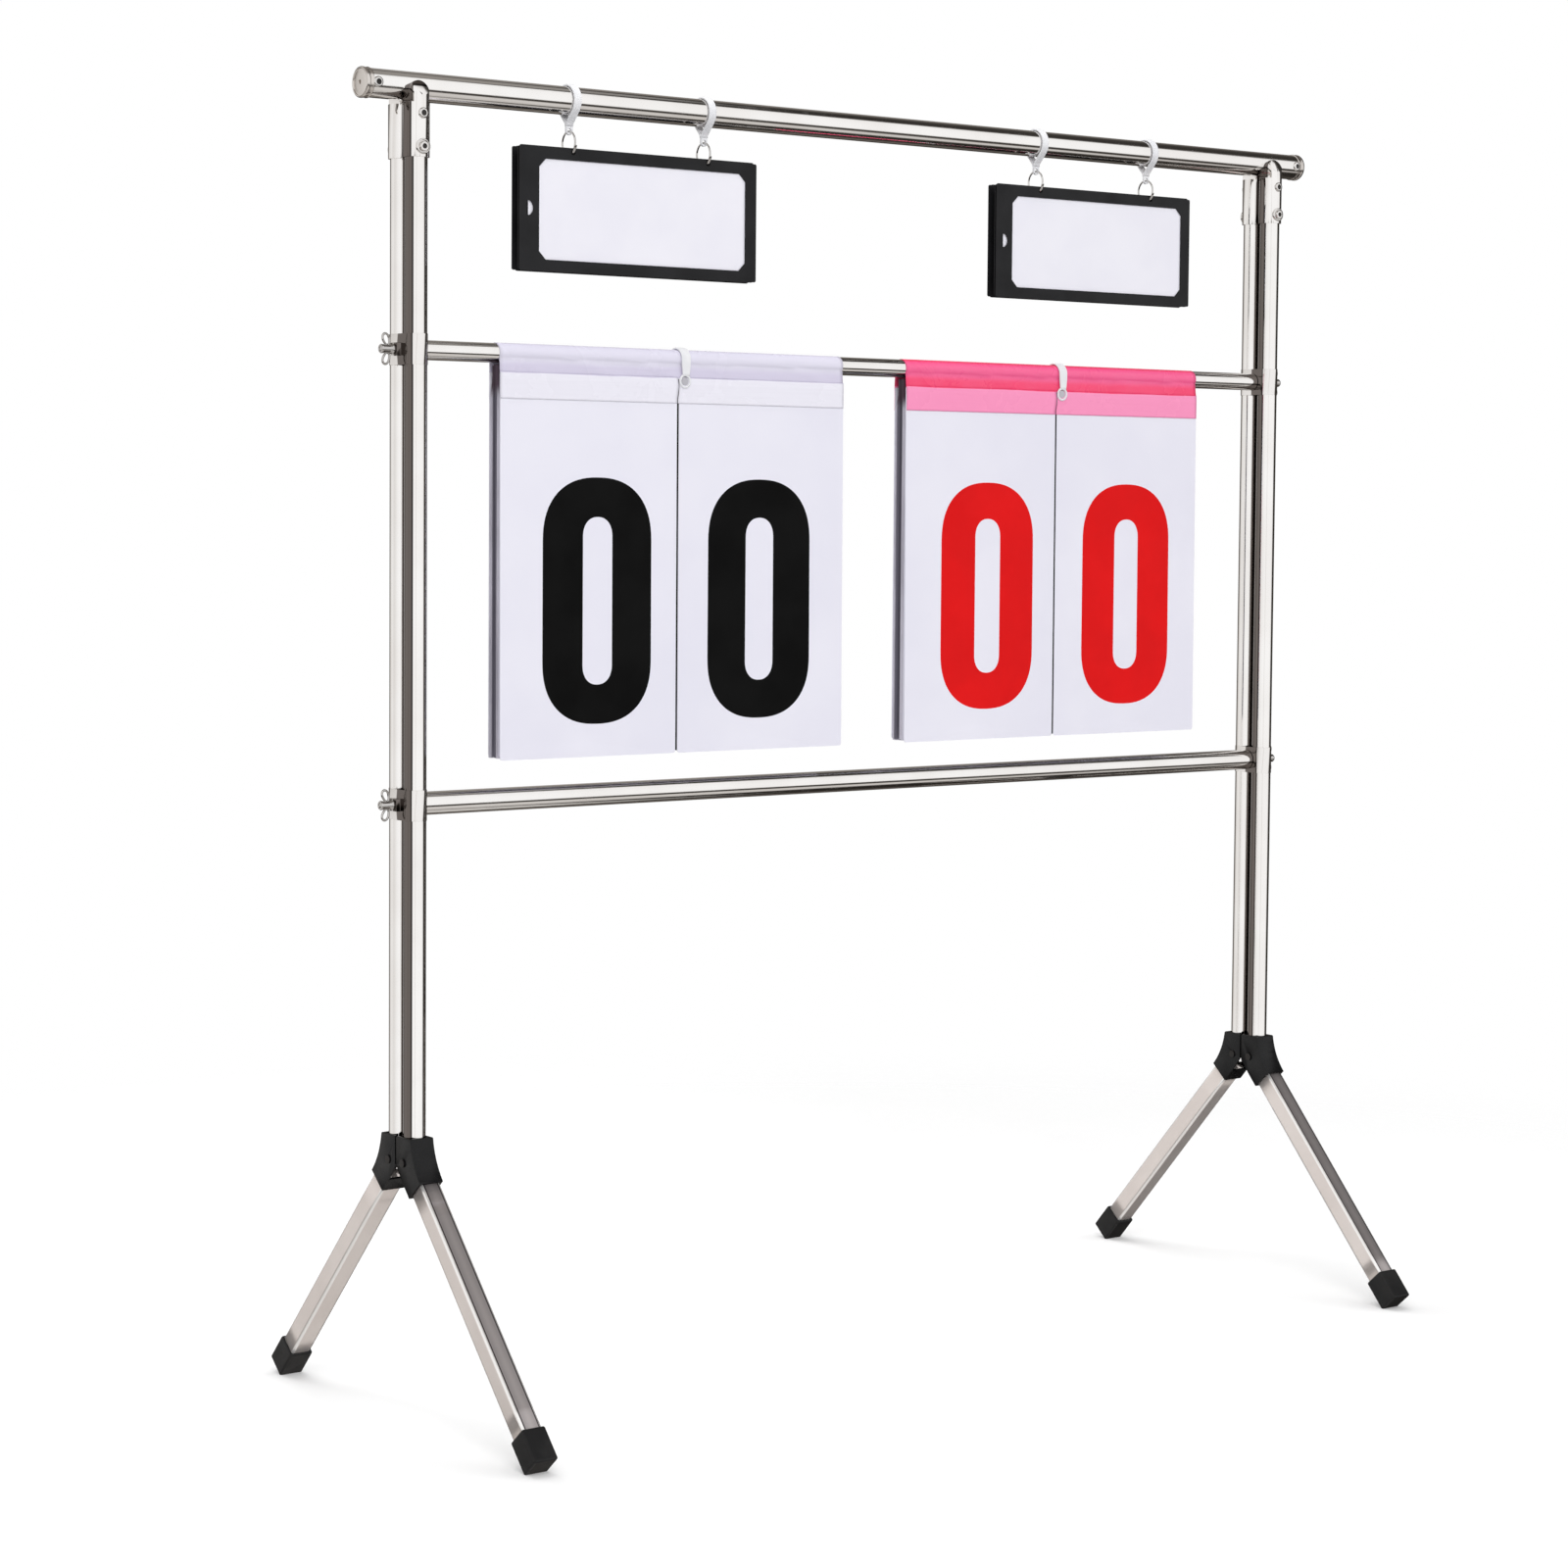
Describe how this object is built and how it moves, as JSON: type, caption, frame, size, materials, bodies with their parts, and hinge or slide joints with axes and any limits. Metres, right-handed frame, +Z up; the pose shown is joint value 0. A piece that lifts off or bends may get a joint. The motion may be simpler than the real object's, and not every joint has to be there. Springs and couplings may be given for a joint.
{
  "type": "flip scoreboard on folding stand",
  "caption": "Floor-standing flip scoreboard: number leaves and name holders hang from rails on a folding stainless stand.",
  "frame": {"origin": "centre of the stand's footprint on the floor", "axes": "+X along the rails to the right, -Y the front where the numbers face, +Z up"},
  "size_m": [1.434, 0.5642, 1.4949],
  "materials": {
    "polished_stainless": "mirror polished stainless tube",
    "satin_stainless": "satin stainless square tube, grain along the leg",
    "screw_steel": "bright steel, turned",
    "black_nylon": "black moulded nylon, satin",
    "clamp_steel": "bright cast and plated",
    "white_hook_plastic": "white, slightly milky",
    "ring_wire": "bright wire",
    "pocket_black": "black PVC sheet, fine grain",
    "card_paper": "plain pale card",
    "leaf_black_set": "white PVC sheet with a printed black numeral",
    "leaf_red_set": "white PVC sheet with a printed red numeral",
    "lilac_film": "lilac translucent film",
    "pink_film": "pink translucent film",
    "clip_white": "white, slightly milky"
  },
  "bodies": {
    "stand": {"top_rail": "polished_stainless", "rail_caps": "polished_stainless", "frame_screws": "screw_steel", "bolt_washers": "screw_steel", "elbow_pins": "screw_steel", "post_front_left": "polished_stainless", "post_rear_left": "polished_stainless", "post_front_right": "polished_stainless", "post_rear_right": "polished_stainless", "bracket_front_left": "polished_stainless", "bracket_rear_left": "polished_stainless", "bracket_front_right": "polished_stainless", "bracket_rear_right": "polished_stainless"},
    "mid_bar": {"mid_rail": "polished_stainless", "mid_rail_bands": "clamp_steel"},
    "lower_bar": {"lower_rail": "polished_stainless", "lower_rail_bands": "clamp_steel"},
    "mid_wing_left": {"mid_wing_bolt_left": "clamp_steel"},
    "mid_wing_right": {"mid_wing_bolt_right": "clamp_steel"},
    "lower_wing_left": {"lower_wing_bolt_left": "clamp_steel"},
    "lower_wing_right": {"lower_wing_bolt_right": "clamp_steel"},
    "folding_leg_front_left": {"elbow_front_left": "black_nylon", "leg_front_left": "satin_stainless", "foot_front_left": "black_nylon"},
    "folding_leg_rear_left": {"elbow_rear_left": "black_nylon", "leg_rear_left": "satin_stainless", "foot_rear_left": "black_nylon"},
    "folding_leg_front_right": {"elbow_front_right": "black_nylon", "leg_front_right": "satin_stainless", "foot_front_right": "black_nylon"},
    "folding_leg_rear_right": {"elbow_rear_right": "black_nylon", "leg_rear_right": "satin_stainless", "foot_rear_right": "black_nylon"},
    "hooks_left": {"holder_hooks_left": "white_hook_plastic"},
    "holder_left": {"holder_rings_left": "ring_wire", "name_pocket_front_left": "pocket_black", "name_pocket_rear_left": "pocket_black"},
    "card_front_left": {"name_card_front_left": "card_paper"},
    "card_rear_left": {"name_card_rear_left": "card_paper"},
    "hooks_right": {"holder_hooks_right": "white_hook_plastic"},
    "holder_right": {"holder_rings_right": "ring_wire", "name_pocket_front_right": "pocket_black", "name_pocket_rear_right": "pocket_black"},
    "card_front_right": {"name_card_front_right": "card_paper"},
    "card_rear_right": {"name_card_rear_right": "card_paper"},
    "black_set": {"black_header": "lilac_film", "black_clip": "clip_white", "black_front_pile": "leaf_black_set", "black_rear_pile": "leaf_black_set"},
    "black_tens_flap": {"black_tens_leaf": "leaf_black_set"},
    "black_units_flap": {"black_units_leaf": "leaf_black_set"},
    "red_set": {"red_header": "pink_film", "red_clip": "clip_white", "red_front_pile": "leaf_red_set", "red_rear_pile": "leaf_red_set"},
    "red_tens_flap": {"red_tens_leaf": "leaf_red_set"},
    "red_units_flap": {"red_units_leaf": "leaf_red_set"}
  },
  "joints": [
    {"name": "mid_rail_height", "type": "slide", "parent": "stand", "child": "mid_bar", "axis": [0, 0, 1], "range_m": [-0.02, 0.03]},
    {"name": "lower_rail_height", "type": "slide", "parent": "stand", "child": "lower_bar", "axis": [0, 0, 1], "range_m": [-0.2, 0.005]},
    {"name": "mid_wing_turn_left", "type": "hinge", "parent": "mid_bar", "child": "mid_wing_left", "pos_m": [-0.68, 0, 1.19], "axis": [1, 0, 0], "continuous": true},
    {"name": "mid_wing_turn_right", "type": "hinge", "parent": "mid_bar", "child": "mid_wing_right", "pos_m": [0.68, 0, 1.19], "axis": [1, 0, 0], "continuous": true},
    {"name": "lower_wing_turn_left", "type": "hinge", "parent": "lower_bar", "child": "lower_wing_left", "pos_m": [-0.68, 0, 0.69], "axis": [1, 0, 0], "continuous": true},
    {"name": "lower_wing_turn_right", "type": "hinge", "parent": "lower_bar", "child": "lower_wing_right", "pos_m": [0.68, 0, 0.69], "axis": [1, 0, 0], "continuous": true},
    {"name": "leg_fold_front_left", "type": "hinge", "parent": "stand", "child": "folding_leg_front_left", "pos_m": [-0.655, -0.0153, 0.2935], "axis": [1, 0, 0], "range_deg": [0, 42]},
    {"name": "leg_fold_rear_left", "type": "hinge", "parent": "stand", "child": "folding_leg_rear_left", "pos_m": [-0.655, 0.0153, 0.2935], "axis": [-1, 0, 0], "range_deg": [0, 42]},
    {"name": "leg_fold_front_right", "type": "hinge", "parent": "stand", "child": "folding_leg_front_right", "pos_m": [0.655, -0.0153, 0.2935], "axis": [1, 0, 0], "range_deg": [0, 42]},
    {"name": "leg_fold_rear_right", "type": "hinge", "parent": "stand", "child": "folding_leg_rear_right", "pos_m": [0.655, 0.0153, 0.2935], "axis": [-1, 0, 0], "range_deg": [0, 42]},
    {"name": "holder_slide_left", "type": "slide", "parent": "stand", "child": "hooks_left", "axis": [1, 0, 0], "range_m": [-0.03, 0.03]},
    {"name": "holder_swing_left", "type": "hinge", "parent": "hooks_left", "child": "holder_left", "pos_m": [-0.351, 0, 1.442], "axis": [1, 0, 0], "range_deg": [-15, 15]},
    {"name": "card_slide_front_left", "type": "slide", "parent": "holder_left", "child": "card_front_left", "axis": [1, 0, 0], "range_m": [-0.08, 0]},
    {"name": "card_slide_rear_left", "type": "slide", "parent": "holder_left", "child": "card_rear_left", "axis": [1, 0, 0], "range_m": [0, 0.08]},
    {"name": "holder_slide_right", "type": "slide", "parent": "stand", "child": "hooks_right", "axis": [1, 0, 0], "range_m": [-0.03, 0.03]},
    {"name": "holder_swing_right", "type": "hinge", "parent": "hooks_right", "child": "holder_right", "pos_m": [0.351, 0, 1.442], "axis": [1, 0, 0], "range_deg": [-15, 15]},
    {"name": "card_slide_front_right", "type": "slide", "parent": "holder_right", "child": "card_front_right", "axis": [1, 0, 0], "range_m": [-0.08, 0]},
    {"name": "card_slide_rear_right", "type": "slide", "parent": "holder_right", "child": "card_rear_right", "axis": [1, 0, 0], "range_m": [0, 0.08]},
    {"name": "black_set_slide", "type": "slide", "parent": "mid_bar", "child": "black_set", "axis": [1, 0, 0], "range_m": [-0.03, 0.03]},
    {"name": "black_tens_lift", "type": "hinge", "parent": "black_set", "child": "black_tens_flap", "pos_m": [-0.3, -0.0119, 1.159], "axis": [1, 0, 0], "range_deg": [-150, 0]},
    {"name": "black_units_lift", "type": "hinge", "parent": "black_set", "child": "black_units_flap", "pos_m": [-0.3, -0.0119, 1.159], "axis": [1, 0, 0], "range_deg": [-150, 0]},
    {"name": "red_set_slide", "type": "slide", "parent": "mid_bar", "child": "red_set", "axis": [1, 0, 0], "range_m": [-0.03, 0.03]},
    {"name": "red_tens_lift", "type": "hinge", "parent": "red_set", "child": "red_tens_flap", "pos_m": [0.285, -0.0119, 1.159], "axis": [1, 0, 0], "range_deg": [-150, 0]},
    {"name": "red_units_lift", "type": "hinge", "parent": "red_set", "child": "red_units_flap", "pos_m": [0.285, -0.0119, 1.159], "axis": [1, 0, 0], "range_deg": [-150, 0]}
  ]
}
